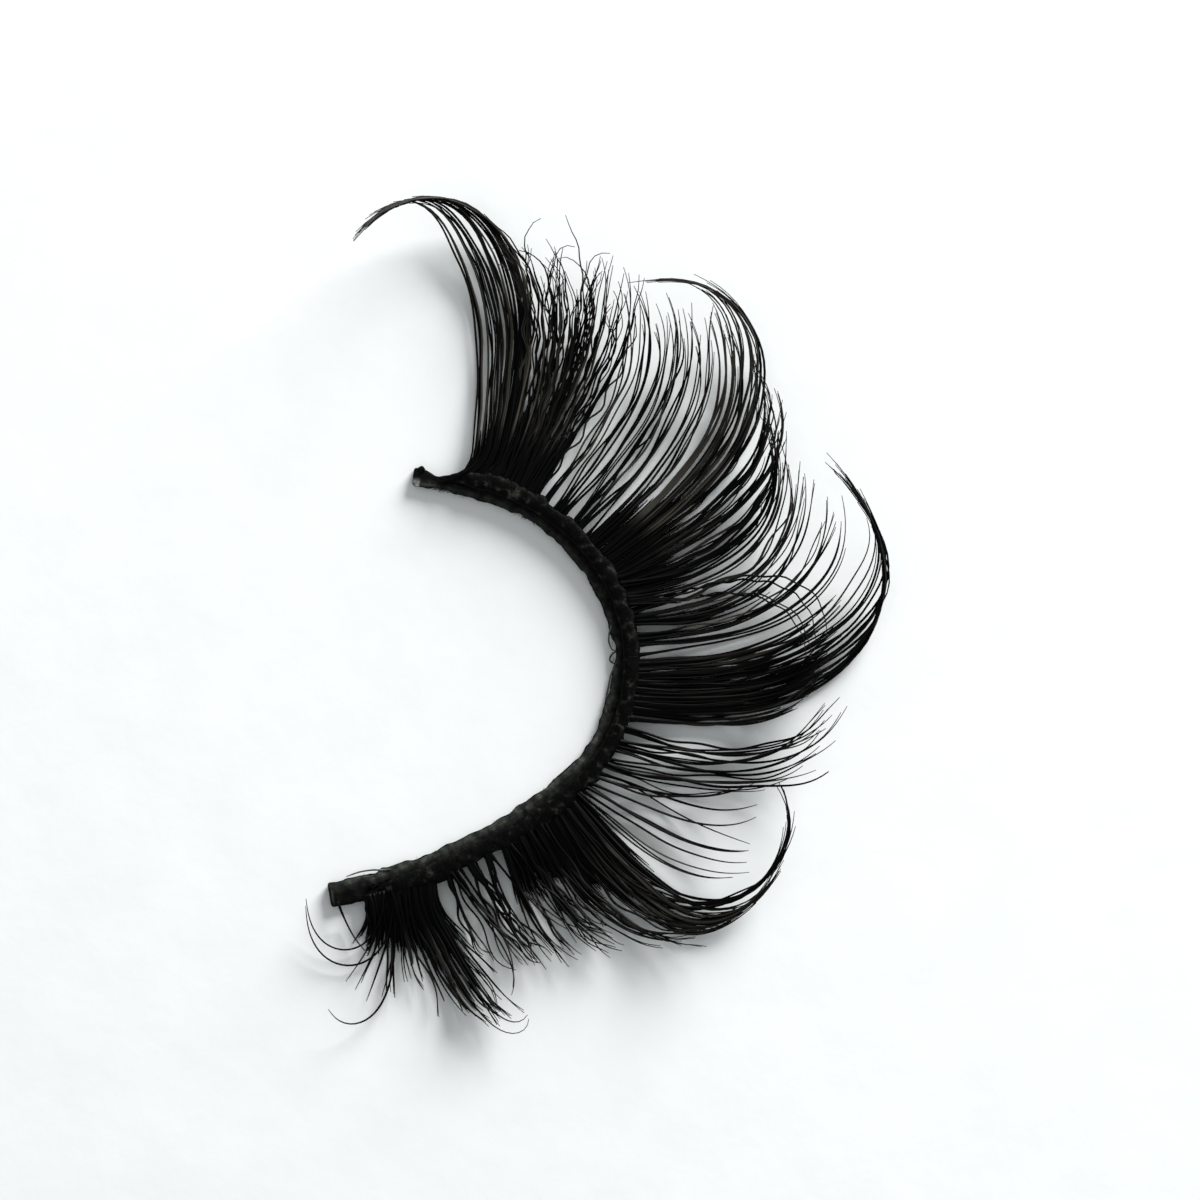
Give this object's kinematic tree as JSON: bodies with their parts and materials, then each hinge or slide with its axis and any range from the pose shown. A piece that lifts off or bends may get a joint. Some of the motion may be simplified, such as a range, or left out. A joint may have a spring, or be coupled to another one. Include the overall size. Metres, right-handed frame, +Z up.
{
  "type": "false eyelash strip",
  "caption": "Strip of false eyelashes: a thin curved cotton band with tufts of fine black hair, long curled points and thinner hair between them, glued along the eyelid.",
  "frame": {"origin": "on the surface that the strip lies on, under the middle of its outline", "axes": "+X away from the eye across the middle of the band, +Y towards the outer-corner end of the strip, +Z up from the surface"},
  "size_m": [0.026, 0.0384, 0.0067],
  "materials": {
    "band_cotton": "matte black cotton",
    "lash_hair": "satin black fibre"
  },
  "bodies": {
    "root": {"band": "band_cotton", "inner_tuft": "lash_hair", "inner_filler": "lash_hair", "lower_brush": "lash_hair", "lower_spike": "lash_hair", "lower_filler": "lash_hair", "middle_spike": "lash_hair", "middle_filler": "lash_hair", "upper_spike": "lash_hair", "upper_filler": "lash_hair", "outer_spike": "lash_hair"}
  },
  "joints": []
}
